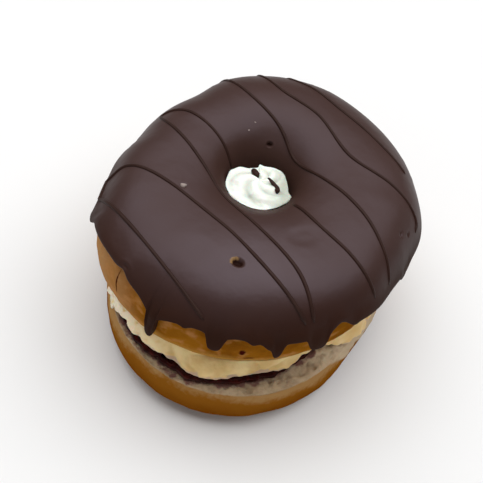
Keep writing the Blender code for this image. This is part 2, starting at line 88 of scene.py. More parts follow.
class Signal:
    """One output of a shader node. Arithmetic on it adds Math nodes, and node() adds a node of any kind."""

    def __init__(self, socket):
        self.socket = socket

    def node(self, kind, settings=None, output=0, **inputs):
        """Adds a node: its settings first, then each input's value or link, named with _ for a space."""
        tree = self.socket.id_data
        added = tree.nodes.new("ShaderNode" + kind)
        for name, value in (settings or {}).items():
            setattr(added, name, value)
        for name, value in inputs.items():
            plain = name.strip("_").replace("_", " ")
            socket = added.inputs[int(plain)] if plain.isdigit() else added.inputs[plain]
            if isinstance(value, Signal):
                tree.links.new(value.socket, socket)
            else:
                socket.default_value = value
        return Signal(added.outputs[output])

    def math(self, operation, first, second=0.0):
        """A Math node on two values or links."""
        return self.node("Math", {"operation": operation}, _0=first, _1=second)

    def __add__(self, other):
        return self.math("ADD", self, other)

    def __sub__(self, other):
        return self.math("SUBTRACT", self, other)

    def __rsub__(self, other):
        return self.math("SUBTRACT", other, self)

    def __mul__(self, other):
        return self.math("MULTIPLY", self, other)

    __radd__ = __add__
    __rmul__ = __mul__

    def step(self, start, stop):
        """0 below the start, 1 above the stop, and a smooth step between them."""
        settings = {"interpolation_type": "SMOOTHSTEP"}
        return self.node("MapRange", settings, Value=self, From_Min=start, From_Max=stop)

    def between(self, low, high):
        """The colour low where this is 0, high where it is 1, and a blend between."""
        low, high = (one if isinstance(one, Signal) else (*one, 1) for one in (low, high))
        return self.node("Mix", {"data_type": "RGBA"}, 2, _0=self, _6=low, _7=high)

    def speckle(self, size, detail=2.0, roughness=0.5):
        """Noise from 0 to 1 whose blots are about this size, in metres, at this point in space."""
        return self.node("TexNoise", Vector=self, Scale=1 / size, Detail=detail, Roughness=roughness)

    def part(self, number):
        """One part of this point in space: 0 for x, 1 for y, 2 for the height."""
        return self.node("SeparateXYZ", None, number, Vector=self)

    def bump(self, distance):
        """A normal that is bent as if this height, times the distance, stood on the surface."""
        return self.node("Bump", Height=self, Distance=distance)

    def trait(self, name):
        """A value stored on the piece's own points."""
        return self.node("Attribute", {"attribute_name": name}, 2)


def new_finish(name, **constants):
    """A Principled material whose constants are the same all over. Returns it with its point in space."""
    material = bpy.data.materials.new(name)
    material.use_nodes = True
    shader = material.node_tree.nodes["Principled BSDF"]
    for socket, value in constants.items():
        shader.inputs[socket.replace("_", " ")].default_value = value
    place = material.node_tree.nodes.new("ShaderNodeTexCoord")
    return material, Signal(place.outputs["Object"])


def feed(material, **signals):
    """Links signals to the sockets of the material's Principled shader."""
    shader = material.node_tree.nodes["Principled BSDF"]
    for socket, signal in signals.items():
        material.node_tree.links.new(signal.socket, shader.inputs[socket.replace("_", " ")])


floor_colour = (FLOOR_GREY, FLOOR_GREY, FLOOR_GREY, 1)
floor_finish, _ = new_finish("floor_white", Base_Color=floor_colour, Roughness=0.9)
floor_mesh = bpy.data.meshes.new("floor")
half = FLOOR_SIZE / 2
corners = ((-half, -half, 0), (half, -half, 0), (half, half, 0), (-half, half, 0))
floor_mesh.from_pydata(corners, [], [(0, 1, 2, 3)])
floor_mesh.materials.append(floor_finish)
floor = bpy.data.objects.new("floor", floor_mesh)
bpy.context.scene.collection.objects.link(floor)

# Lower half: a ring of dough that was fried, then cut through. Its crust is golden brown below a pale band,
# and its cut face is open crumb, torn up into a soft heap at the front right. It lies on its flat underside.
COLUMNS = 560
LOWER_RADIUS = 0.0455
LOWER_LOBES = ((1, 0.0062, -92), (2, 0.0031, 76), (3, 0.0010, -8))
LOWER_FLATS = ((0.0014, -150, 20), (-0.0021, -88, 30), (0.0020, -34, 18))
HOLE_RADIUS = 0.0089
LOWER_WAIST = 0.0086
LOWER_DROP = 0.0090
LOWER_RISE = 0.0197
LOWER_CUT = 0.0172
LOWER_FULLNESS = 2.6
CRUST_ROWS = 84
CRUMB_ROWS = 84
CRUMB_LIFT = 0.0008
CRUMB_CROWDING = 1.5  # how much its rows crowd towards the rim
CRUMB_WAVES = ((7, 0.00022, 10), (11, 0.00020, 40))
TORN_TOWARD = -46
TORN_HALF_WIDTH = 16
TORN_RISE = 0.0042
TORN_REACH = (0.0300, 0.0370, 0.0425, 0.0475)  # the heap starts, is full, begins to fall, ends
TORN_RIM = (0.0095, -24, 24, 3)  # crumb hung over the rim: how far down, direction, half width, bluntness
TORN_RAGGED = (0.35, 0.0034, 7)  # how unevenly it hangs: share, size and seed
TORN_BLEND = (0.0005, 0.0035)  # heights above the cut between which crust turns into hanging crumb
TORN_FLUFF = ((0.00035, 0.0026, 8), (0.00022, 0.0013, 9))  # relief in layers: height, size and seed
CRUST_DIMPLES = ((0.00020, 0.006, 1), (0.00008, 0.0022, 2))
DIMPLED_FROM = (0.0005, 0.003)  # heights between which the dimples begin
CRUMB_FLUFF = ((0.00060, 0.0029, 3), (0.00038, 0.0013, 4))
PORES = ((1, 0.0017, 5, 0.25), (0.6, 0.0011, 6, 0.30))  # share of the depth, size, seed, where one opens
PORE_FULL = 0.7
PORE_DEPTH = 0.0011
RIM_CALM = (0.6, -0.0025, -0.0003)  # by how much, and where, the crumb is smoother beside the rim
RIM_INSET, HOLE_INSET = 0.0003, 0.0004  # of the crumb's outermost and innermost rows from the crust
BARED = (-0.0012, 0.0008)  # past the jam's edge, where the crumb's relief begins and is full
JAM_BRIM = (  # the jam's edge as directions and distances from the hole's axis in mm
    (-180, 39.5), (-165, 41.3), (-154, 44.0), (-144, 47.0), (-135.6, 49.8), (-127.5, 51.4), (-120, 52.9),
    (-113, 52.8), (-107, 53.4), (-100, 53.9), (-92, 52.8), (-84, 50.9), (-79.5, 50.1), (-74, 48.0),
    (-69, 46.4), (-65, 45.5), (-61, 44.4), (-57, 42.9), (-51, 40.8), (-42, 39.2), (-28, 39.0), (-12, 40.6),
    (6, 41.0), (26, 38.6), (50, 37.1), (74, 37.6), (98, 39.4), (122, 38.2), (146, 36.4), (164, 37.3),
)
STAIN_AND_SHADE_WIDTH = 0.0022  # how far the jam's juice has soaked into the crumb, widened with painted shade below the jam's edge
DARK_TO_GOLD = (0.0045, 0.0150)  # heights between which the crust turns from darker, low down, to golden
PALE_BAND = (0.0138, 0.0180)  # heights between which the gold turns pale
LEFT_SIDE = (-0.0420, -0.0220)  # places along X beyond which the pale band comes further down
LEFT_DROP = 0.0040
RIGHT_SIDE = (0.0060, 0.0260)
RIGHT_DROP = 0.0020
LIGHT_CRUMB = (0.0040, 0.0340)  # places along X between which the crumb grows lighter
DOUGH_PALE = (0.39, 0.215, 0.080)
DOUGH_GOLD = (0.275, 0.101, 0.0095)
DOUGH_DARK = (0.185, 0.054, 0.0025)
CRUMB_PALE = (0.50, 0.375, 0.240)
CRUMB_TAN = (0.33, 0.232, 0.137)
CRUMB_LIGHT = (0.64, 0.50, 0.345)
JAM_STAIN_AND_SHADE = (0.20, 0.095, 0.075)


def lobed(angle, mean, lobes):
    """Radius of an uneven round outline: its mean plus cosine lobes (count, height, direction)."""
    waves = (height * np.cos(count * (angle - np.radians(toward))) for count, height, toward in lobes)
    return mean + sum(waves)


def hump(angle, toward, half_width, bluntness=2):
    """A smooth rise to 1 round one direction, both in degrees: exp(-(distance / half width)^bluntness)."""
    away = (angle - np.radians(toward) + np.pi) % (2 * np.pi) - np.pi
    return np.exp(-(np.abs(away / np.radians(half_width)) ** bluntness))


def dented(angle, radius, dents):
    """A radius less its dents, each a hump (depth, direction, half width)."""
    return radius - sum(depth * hump(angle, toward, width) for depth, toward, width in dents)


def ease(value, start, stop):
    """0 before the start, 1 after the stop, and a smooth step between them."""
    share = np.clip((value - start) / (stop - start), 0, 1)
    return share**2 * (3 - 2 * share)


def section(turn, inner, outer, fullness):
    """The squared-off ring section |u|^p + |w|^p = 1, as distance from the hole's axis and height w.

    The turn goes round the section: 0 is the outer side, 90 degrees the crown, 180 the hole's side.
    """
    span = (np.abs(np.cos(turn)) ** fullness + np.abs(np.sin(turn)) ** fullness) ** (-1 / fullness)
    return (outer + inner) / 2 + (outer - inner) / 2 * np.cos(turn) * span, np.sin(turn) * span


def placed(angle, reach, height):
    """Points from a direction, a distance from the hole's axis and a height."""
    angle, reach, height = np.broadcast_arrays(angle, reach, height)
    return HOLE + np.stack((reach * np.cos(angle), reach * np.sin(angle), height), axis=-1)


def unevenness(points, size, seed):
    """Smooth random values from -1 to 1: one for each corner of a cubic lattice, blended between them."""
    draw = np.random.default_rng(seed)
    order, values = draw.permutation(256), draw.uniform(-1, 1, 256)
    base = np.floor(points / size).astype(int)
    share = points / size - base
    share = share**2 * (3 - 2 * share)
    total = np.zeros(points.shape[:-1])
    for corner in np.ndindex(2, 2, 2):
        x, y, z = np.moveaxis((base + corner) % 256, -1, 0)
        weight = np.prod(np.where(corner, share, 1 - share), axis=-1)
        total += values[order[(order[(order[x] + y) % 256] + z) % 256]] * weight
    return total


def relief(points, *layers):
    """Uneven height over points: the sum of layers of unevenness, each (height, size, seed)."""
    return sum(height * unevenness(points, size, seed) for height, size, seed in layers)


def facing(points):
    """Outward unit normals of a grid of rows that go round anticlockwise and climb up the outside."""
    along = np.roll(points, -1, 1) - np.roll(points, 1, 1)
    normal = np.cross(along, np.gradient(points, axis=0))
    return normal / np.maximum(np.linalg.norm(normal, axis=-1, keepdims=True), 1e-12)


def ring_piece(name, points, material, node=None, slot=None, closed=True, **traits):
    """A piece on a grid of points whose rows go round the ring. When closed, the last row joins the first.
    Otherwise the first and last rows are shut with a fan. Traits are values kept on its points."""
    rows, columns = points.shape[:2]
    index = np.arange(rows * columns).reshape(rows, columns)
    lower, upper = (index, np.roll(index, -1, 0)) if closed else (index[:-1], index[1:])
    quads = np.stack((np.roll(lower, 1, 1), lower, upper, np.roll(upper, 1, 1)), axis=-1).reshape(-1, 4)
    vertices, faces = points.reshape(-1, 3), quads.tolist()
    if not closed:
        ends = points[[0, -1]].mean(axis=1)
        vertices = np.vstack((vertices, ends))
        for ring, middle in ((index[0][::-1], rows * columns), (index[-1], rows * columns + 1)):
            faces += np.stack((np.roll(ring, 1), ring, np.full(columns, middle)), axis=-1).tolist()
    data = bpy.data.meshes.new(name)
    data.from_pydata(vertices.tolist(), [], faces)
    data.shade_smooth()
    for trait, values in traits.items():
        spread = np.zeros(len(vertices), np.float32)
        spread[: rows * columns] = np.broadcast_to(values, (rows, columns)).ravel()
        data.attributes.new(trait, "FLOAT", "POINT").data.foreach_set("value", spread)
    return dressed(bpy.data.objects.new(name, data), material, node)


def dressed(piece, material, node):
    """Gives a piece its material, lets it ride on the part, and hides the solid it stands for."""
    bpy.context.scene.collection.objects.link(piece)
    piece.data.materials.append(material)
    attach(piece, "root")
    if node:
        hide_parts(node)
    return piece


def curve_through(points, step, fineness=24):
    """Evenly spaced points along a smooth (Catmull-Rom) curve through the given ones.

    Each stretch between two given points is first worked out at as many places as the fineness says.
    """
    ends = (2 * points[0] - points[1], 2 * points[-1] - points[-2])
    knots = np.vstack((ends[0], points, ends[1]))
    share = np.linspace(0, 1, fineness, endpoint=False)[:, None]
    parts = []
    for a, b, c, d in zip(knots, knots[1:], knots[2:], knots[3:]):
        curl = (2 * a - 5 * b + 4 * c - d) * share**2 + (3 * b - a - 3 * c + d) * share**3
        parts.append(b + 0.5 * ((c - a) * share + curl))
    fine = np.vstack((*parts, points[-1:]))
    along = np.concatenate(((0,), np.cumsum(np.linalg.norm(np.diff(fine, axis=0), axis=1))))
    even = np.linspace(0, along[-1], max(2, round(along[-1] / step)) + 1)
    return np.stack([np.interp(even, along, column) for column in fine.T], axis=-1)


def traced(angle, corners):
    """Distance from the hole's axis to a smooth closed outline, given as directions and millimetres."""
    corners = np.array(corners, float)
    round_once = np.array((360, 0))
    once_and_more = np.vstack((corners[-2:] - round_once, corners, corners[:2] + round_once))
    outline = curve_through(once_and_more, step=1.0)
    return np.interp((np.degrees(angle) - corners[0, 0]) % 360 + corners[0, 0], *outline.T) / 1000


def lower_skin(angle, turn):
    """A point of the lower half's crust: distance from the hole's axis, and height, never below ground."""
    outline = dented(angle, lobed(angle, LOWER_RADIUS, LOWER_LOBES), LOWER_FLATS)
    reach, lift = section(turn, HOLE_RADIUS, outline, LOWER_FULLNESS)
    return reach, np.maximum(LOWER_WAIST + lift * np.where(lift > 0, LOWER_RISE, LOWER_DROP), 0)


def crumb_height(angle, reach):
    """Height of the cut face: level, waved, and heaped up where it is torn."""
    start, full, fall, end = TORN_REACH
    along = ease(reach, start, full) * (1 - ease(reach, fall, end))
    heap = TORN_RISE * along * hump(angle, TORN_TOWARD, TORN_HALF_WIDTH)
    return LOWER_CUT + CRUMB_LIFT + lobed(angle, 0, CRUMB_WAVES) + heap


def cut_turn(height, waist, rise, fullness):
    """How far round the section, from the outer waist, its curve reaches a height."""
    lift = abs(height - waist) / rise
    return np.arctan2(height - waist, rise * (1 - lift**fullness) ** (1 / fullness))


around = (np.arange(COLUMNS) * 2 * np.pi / COLUMNS)[None, :]
rim_turn = cut_turn(LOWER_CUT, LOWER_WAIST, LOWER_RISE, LOWER_FULLNESS)
crust_turn = np.linspace(-np.pi - rim_turn, rim_turn, CRUST_ROWS)[:, None]
crust = placed(around, *lower_skin(around, crust_turn))
torn_down = TORN_RIM[0] * hump(around, *TORN_RIM[1:]) * (1 + relief(crust, TORN_RAGGED))
torn_rim = ease(crust[..., 2] + torn_down - LOWER_CUT, *TORN_BLEND)
dimples = relief(crust, *CRUST_DIMPLES) + relief(crust, *TORN_FLUFF) * torn_rim
crust += facing(crust) * (dimples * ease(crust[..., 2], *DIMPLED_FROM))[..., None]

rim = lower_skin(around, rim_turn)[0]
inmost = lower_skin(around, np.pi - rim_turn)[0] + HOLE_INSET
inward = np.linspace(0, 1, CRUMB_ROWS)[:, None] ** CRUMB_CROWDING
crumb_reach = rim - RIM_INSET + (inmost - rim + RIM_INSET) * inward
crumb = placed(around, crumb_reach, crumb_height(around, crumb_reach))
beyond_jam = crumb_reach - traced(around, JAM_BRIM)
pores = sum(
    share * ease(unevenness(crumb, size, seed), opening, PORE_FULL) for share, size, seed, opening in PORES
)
settled = 1 - RIM_CALM[0] * ease(crumb_reach - rim, *RIM_CALM[1:])
rough = (relief(crumb, *CRUMB_FLUFF) - PORE_DEPTH * pores) * ease(beyond_jam, *BARED) * settled
crumb += facing(crumb) * rough[..., None]

on_crust = np.zeros((CRUST_ROWS, COLUMNS))
in_crumb = np.vstack((torn_rim, np.ones((CRUMB_ROWS, COLUMNS))))
pore_depth = np.vstack((on_crust, pores))
stained = np.vstack((on_crust, 1 - ease(beyond_jam, -0.2 * STAIN_AND_SHADE_WIDTH, STAIN_AND_SHADE_WIDTH)))

fried, point = new_finish(
    "fried_dough", Roughness=0.6, Specular_IOR_Level=0, Subsurface_Weight=0.1, Subsurface_Scale=0.002
)
blotch = point.speckle(0.009, 3)
fine = point.speckle(0.0014, 4, 0.6)
# darker low down and golden higher up, with blotches
dark_to_gold = (point.part(2) + (blotch - 0.5) * 0.006).step(*DARK_TO_GOLD)
crust_colour = dark_to_gold.between(DOUGH_DARK, DOUGH_GOLD)
leftward = 1 - point.part(0).step(*LEFT_SIDE)
rightward = point.part(0).step(*RIGHT_SIDE)
paleness = point.part(2) + (blotch - 0.5) * 0.007 + (fine - 0.5) * 0.005
paleness = paleness + leftward * LEFT_DROP + rightward * RIGHT_DROP
crust_colour = paleness.step(*PALE_BAND).between(crust_colour, DOUGH_PALE)
crumb_colour = (fine * 0.4 + point.speckle(0.004, 3) * 0.6).step(0.30, 0.62).between(CRUMB_TAN, CRUMB_PALE)
crumb_colour = (point.part(0).step(*LIGHT_CRUMB) * 0.6).between(crumb_colour, CRUMB_LIGHT)
# painted shade: the crumb is coloured darker down in its pores
crumb_colour = (point.trait("pore") * 0.55).between(crumb_colour, CRUMB_TAN)
# jam stain on the crumb beside the jam, and painted shade below the jam's edge
soaked_and_shaded = (point.trait("stain") + (point.speckle(0.0030, 3) - 0.5) * 3.2).step(0.45, 1.1)
crumb_colour = soaked_and_shaded.between(crumb_colour, JAM_STAIN_AND_SHADE)
cut = (point.trait("crumb") + (fine - 0.5) * 0.5 + (point.speckle(0.003, 3) - 0.5) * 0.7).step(0.2, 0.9)
grain = fine * (cut * 0.85 + 0.15)
feed(fried, Base_Color=cut.between(crust_colour, crumb_colour), Normal=grain.bump(0.0006))
ring_piece(
    "lower_half", np.concatenate((crust, crumb)), fried, "bottom_bun",
    crumb=in_crumb, pore=pore_depth, stain=stained,
)

# Jam: one spoonful of dark fruit jam, spread over the crumb. It is wet, nearly black, and its edge is
# scalloped where the cream pressed it outwards.
GAP = 0.00035
JAM = 0.0026
JAM_INNER = 0.0120
JAM_EDGE_ROWS = 14
JAM_UNDER_ROWS = 10
JAM_TOP_ROWS = 24
JAM_SCALLOPS = ((0.0005, 0.0030, 11), (0.0004, 0.0013, 12))
JAM_LUMPS = ((0.00030, 0.0021, 13), (0.00015, 0.0011, 14))
JAM_BLACK = (0.018, 0.0014, 0.0007)
JAM_RED = (0.050, 0.005, 0.003)

on_rim = placed(around, traced(around, JAM_BRIM), LOWER_CUT)
jam_rim = traced(around, JAM_BRIM) + relief(on_rim, *JAM_SCALLOPS)
under = np.linspace(JAM_INNER, jam_rim - JAM / 2, JAM_UNDER_ROWS).reshape(-1, COLUMNS)
bend = np.linspace(-np.pi / 2, np.pi / 2, JAM_EDGE_ROWS)[:, None]
edge_reach = jam_rim - JAM / 2 * (1 - np.cos(bend))
edge_height = crumb_height(around, edge_reach) + GAP + JAM / 2 * (1 + np.sin(bend))
over = np.linspace(jam_rim - JAM / 2, JAM_INNER * np.ones_like(jam_rim), JAM_TOP_ROWS).reshape(-1, COLUMNS)
jam = np.concatenate((
    placed(around, under, crumb_height(around, under) + GAP),
    placed(around, edge_reach, edge_height),
    placed(around, over, crumb_height(around, over) + GAP + JAM),
))
jam += facing(jam) * relief(jam, *JAM_LUMPS)[..., None]
jam_wet, point = new_finish("jam", Roughness=0.25, Specular_IOR_Level=0.05)
pulp = point.speckle(0.0016, 3)
feed(jam_wet, Base_Color=pulp.step(0.45, 0.75).between(JAM_BLACK, JAM_RED), Normal=pulp.bump(0.0002))
ring_piece("jam_layer", jam, jam_wet, "jam")

# Cream layer: custard cream spread over the jam and pressed out by the upper half. Its side has soft folds
# and a ragged foot, and it closes the hole of the lower half with a plug that sags a little.
CREAM_FOOT = (  # as directions and distances from the hole's axis in mm; in places it hangs over the jam
    (-180, 38.6), (-165, 40.2), (-154, 42.6), (-146, 45.8), (-141, 49.0), (-137, 51.1), (-133.5, 50.3),
    (-129, 49.8), (-122, 51.4), (-115, 51.6), (-108, 51.6), (-100, 53.2), (-90.6, 51.8), (-86, 49.7),
    (-80, 48.4), (-74, 47.3), (-69, 46.3), (-65, 44.5), (-61, 43.6), (-57, 42.2), (-52, 43.1), (-46, 44.4),
    (-40, 44.8), (-33, 44.3), (-26, 42.8), (-15, 41.0), (0, 40.4), (20, 38.4), (45, 36.2), (70, 36.6),
    (98, 38.6), (122, 37.4), (146, 35.6), (164, 36.6),
)
CREAM_DROOP = (0.0003, 0.0016)  # how far beyond the jam's edge it begins to hang, and lies on the crumb
CREAM_INSET = 0.0036  # of its top from the iced outline
CREAM_HOLLOWS = ((0.0014, -58, 10), (0.0012, 30, 35), (0.0010, 110, 30), (0.0034, -157, 15))
CREAM_BELLY = (0.0010, 0.6)  # how far its side bulges, and how low: 1 would be halfway up
CREAM_SIDE_ROWS = 56
CREAM_BASE_ROWS = 40
CREAM_TOP_ROWS = 10
CREAM_ROUNDING = (0.0003, 0.0006)  # how far inside its side the base ends and the top begins
CREAM_PLUG, CREAM_SAG = 0.0080, 0.0150  # radius and height of the plug's flat underside
CREAM_FOOT_WAVES = ((0.0003, 0.0034, 15), (0.0004, 0.0015, 16))
CREAM_LOW_EDGE = (0.05, 0.45)  # shares of its height between which the pink of the jam ends
CREAM_FOLDS = (0.0009, 0.0064, 21)
CREAM_CREASES = (-0.0009, 0.0052, 22)
CREASE_SHARPNESS = 6
CREAM_RAGGED = (0.0007, 0.0016, 23)
RAGGED_END = (0.1, 0.5)  # shares of its height between which the ragged foot ends
CREAM_BROKEN = (0.0014, 0.0026, 24)
CREAM_CRUMBLY = (-137, 17)  # where the cream is broken into lumps: direction and half width
ICED_RADIUS = 0.0480
ICED_LOBES = ((1, 0.0036, -92), (2, 0.0028, 62), (3, 0.0012, -19), (4, 0.0004, 19))
ICED_FLATS = (
    (0.0022, -168, 14), (0.0015, 170, 10), (0.0018, 134, 11), (0.0016, -27, 12), (0.0009, -12, 8),
    (-0.0006, -146, 10),
)
UPPER_CUT = 0.0276
CREAM_PALE = (0.89, 0.68, 0.33)
CREAM_YELLOW = (0.72, 0.48, 0.185)
CREAM_WHITE = (0.92, 0.82, 0.64)
CREAM_PINK = (0.58, 0.40, 0.27)


def iced_outline(angle):
    """The iced half's widest outline, at the icing's own surface."""
    return dented(angle, lobed(angle, ICED_RADIUS, ICED_LOBES), ICED_FLATS)


def cream_floor(angle, reach):
    """Height of the cream's underside: on the jam, and on the crumb where it hangs over the jam's edge."""
    on_jam = 1 - ease(reach - traced(angle, JAM_BRIM), *CREAM_DROOP)
    return crumb_height(angle, reach) + GAP + (JAM + GAP) * on_jam


ceiling = UPPER_CUT - GAP
foot = traced(around, CREAM_FOOT) + relief(on_rim, *CREAM_FOOT_WAVES)
shoulder = dented(around, iced_outline(around) - CREAM_INSET, CREAM_HOLLOWS)
floor_height = cream_floor(around, foot)
climb = np.linspace(0, 1, CREAM_SIDE_ROWS)[:, None]
belly = CREAM_BELLY[0] * np.sin(np.pi * climb ** CREAM_BELLY[1])
side_reach = foot + (shoulder - foot) * climb + belly
side = placed(around, side_reach, floor_height + (ceiling - floor_height) * climb)
crumbly = hump(around, *CREAM_CRUMBLY)
slanted = side * (1, 1, 0.5)
creases = CREAM_CREASES[0] * (1 - np.abs(unevenness(slanted, *CREAM_CREASES[1:]))) ** CREASE_SHARPNESS
folds = relief(slanted, CREAM_FOLDS) + creases
ragged = relief(side, CREAM_RAGGED) * (1 - ease(climb, *RAGGED_END))
broken = relief(side, CREAM_BROKEN) * crumbly
side += facing(side) * ((folds + ragged + broken) * np.sin(np.pi * climb) ** 0.5)[..., None]
base = np.linspace(JAM_INNER, foot - CREAM_ROUNDING[0], CREAM_BASE_ROWS).reshape(-1, COLUMNS)
at_hole = HOLE_RADIUS * np.ones_like(foot)
top = np.linspace(shoulder - CREAM_ROUNDING[1], at_hole, CREAM_TOP_ROWS).reshape(-1, COLUMNS)
cream = np.concatenate((
    placed(around, CREAM_PLUG, CREAM_SAG)[:1].reshape(1, COLUMNS, 3),
    placed(around, base, cream_floor(around, base)),
    side,
    placed(around, top, ceiling),
))
low_edge, lumpy = np.zeros(cream.shape[:2]), np.zeros(cream.shape[:2])
side_rows = slice(1 + len(base), 1 + len(base) + CREAM_SIDE_ROWS)
low_edge[side_rows] = 1 - ease(climb, *CREAM_LOW_EDGE)
lumpy[side_rows] = crumbly
custard, point = new_finish(
    "cream", Roughness=0.5, Specular_IOR_Level=0.2, Subsurface_Weight=0.25, Subsurface_Scale=0.003
)
tint = point.speckle(0.008, 3).step(0.35, 0.65).between(CREAM_YELLOW, CREAM_PALE)
stained_low = (point.trait("low") + (point.speckle(0.0025, 3) - 0.5) * 1.8).step(0.40, 0.95)
tint = stained_low.between(tint, CREAM_PINK)
tint = (point.trait("lumpy") * point.speckle(0.002, 3).step(0.25, 0.5)).between(tint, CREAM_WHITE)
feed(custard, Base_Color=tint, Normal=point.speckle(0.0022, 3).bump(0.0003))
ring_piece("cream_layer", cream, custard, "cream_filling", closed=False, low=low_edge, lumpy=lumpy)

# Upper half: the other half of the fried ring, with its cut face down on the cream. Bare crust shows at
# its side between the icing and the cream, smeared with jam in three places.
WAIST_HEIGHT = 0.0378
CROWN_RISE = 0.0159
UNDER_RISE = 0.0190
OUTER_FULLNESS = 2.2
UNDER_FULLNESS = 2.5  # below the waist, with its lobes: squarer at the left
UNDER_LOBES = ((1, 0.8, -150),)
INNER_FULLNESS = 2.45
INNER_LOBES = ((1, 0.55, -90),)  # squarer at the front of the hole, rounder at its back
HOLE_LOBES = ((1, 0.0024, 178),)
ICING = 0.0014
UPPER_GAP = 0.0005
UPPER_ROWS = 110
CUT_FACE_ROWS = 12
CUT_MARGIN = 0.02  # share of the cut face left free at its edges
SKIN_WRINKLES = ((0.00022, 0.005, 31), (0.00010, 0.0019, 32))
CRUST_TAN = (0.41, 0.205, 0.042)
CRUST_GOLD = (0.34, 0.130, 0.009)
CRUST_DARK = (0.21, 0.070, 0.005)
CRUST_ASHEN = (0.42, 0.215, 0.085)
CRUST_ROSY = (0.50, 0.235, 0.090)
PALE_EDGE = (0.0285, 0.0335)  # heights between which the crust beside the cut turns from tan to gold
ASHEN_SIDE = (-0.0420, -0.0240)  # places along X between which it turns from ashen to gold
SHADE_UNDER_ICING = (0.0315, 0.0370)  # heights between which painted shade darkens it towards the icing
JAM_SMEARS = (  # direction and turn in degrees, half width and half height in mm
    (-87, -8, 1.1, 2.0), (-84.5, -21, 2.2, 0.9), (-131, 6, 0.4, 7.0),
)


def hole_fullness(angle):
    """How square the section is at the hole: its mean plus a cosine lobe."""
    return lobed(angle, INNER_FULLNESS, INNER_LOBES)


def under_fullness(angle):
    """How square the section is below the waist: its mean plus a cosine lobe."""
    return lobed(angle, UNDER_FULLNESS, UNDER_LOBES)


def iced_surface(angle, turn, depth):
    """A point of the iced half's skin, some depth under the icing's own surface: (distance, height)."""
    outer_side = np.where(turn < 0, under_fullness(angle), OUTER_FULLNESS)
    fullness = outer_side + (hole_fullness(angle) - outer_side) * ((1 - np.cos(turn)) / 2) ** 2
    inner = lobed(angle, HOLE_RADIUS, HOLE_LOBES) + depth
    reach, lift = section(turn, inner, iced_outline(angle) - depth, fullness)
    return reach, WAIST_HEIGHT + lift * (np.where(lift > 0, CROWN_RISE, UNDER_RISE) - depth)


def spots(points, depth, places):
    """Rises to 1 round places on the iced half's skin, each (direction, turn, half width, half height)."""
    total = np.zeros(points.shape[:-1])
    for toward, turn, half_width, half_height in places:
        angle, turn = np.radians((toward, turn))
        away = 1000 * (points - placed(angle, *iced_surface(angle, turn, depth)))
        sideways = away @ np.array((-np.sin(angle), np.cos(angle), 0))
        onward = np.sqrt(np.maximum((away**2).sum(-1) - sideways**2, 0))
        total += np.exp(-((sideways / half_width) ** 2 + (onward / half_height) ** 2))
    return total


depth = ICING + UPPER_GAP
start = cut_turn(UPPER_CUT, WAIST_HEIGHT, UNDER_RISE - depth, under_fullness(around))
stop = np.pi - cut_turn(UPPER_CUT, WAIST_HEIGHT, UNDER_RISE - depth, hole_fullness(around))
skin_turn = start + (stop - start) * np.linspace(0, 1, UPPER_ROWS)[:, None]
skin = placed(around, *iced_surface(around, skin_turn, depth))
smeared = spots(skin, depth, JAM_SMEARS)
skin += facing(skin) * relief(skin, *SKIN_WRINKLES)[..., None]
skin[..., 2] = np.maximum(skin[..., 2], UPPER_CUT)
inner_end, outer_end = (np.hypot(*np.moveaxis(skin[row] - HOLE, -1, 0)[:2]) for row in (-1, 0))
across = np.linspace(CUT_MARGIN, 1 - CUT_MARGIN, CUT_FACE_ROWS)[:, None]
cut_face = placed(around, inner_end + (outer_end - inner_end) * across, UPPER_CUT)
smeared = np.vstack((smeared, np.zeros(cut_face.shape[:2])))
browned, point = new_finish(
    "crust", Roughness=0.6, Specular_IOR_Level=0, Subsurface_Weight=0.1, Subsurface_Scale=0.002
)
blotch = point.speckle(0.010, 3)
fine = point.speckle(0.0012, 4, 0.6)
colour = blotch.step(0.36, 0.62).between(CRUST_DARK, CRUST_GOLD)
pale_edge = 1 - (point.part(2) + (blotch - 0.5) * 0.006 + (fine - 0.5) * 0.002).step(*PALE_EDGE)
colour = (pale_edge * 0.9).between(colour, CRUST_TAN)
ashen = (point.part(0) + (blotch - 0.5) * 0.020).step(*ASHEN_SIDE)
colour = ashen.between(CRUST_ASHEN, colour)
# painted shade: the crust is darker just under the icing's edge, though not at the left
shade_near_icing = (point.part(2) + (blotch - 0.5) * 0.006).step(*SHADE_UNDER_ICING) * ashen
colour = (shade_near_icing * 0.35).between(colour, CRUST_DARK)
colour = (point.speckle(0.005, 3).step(0.50, 0.70) * 0.55).between(colour, CRUST_ROSY)
colour = (point.trait("smear") + (fine - 0.5) * 0.4).step(0.35, 0.75).between(colour, JAM_RED)
feed(browned, Base_Color=colour, Normal=fine.bump(0.0003))
ring_piece("upper_half", np.concatenate((skin, cut_face)), browned, "top_bun", smear=smeared)

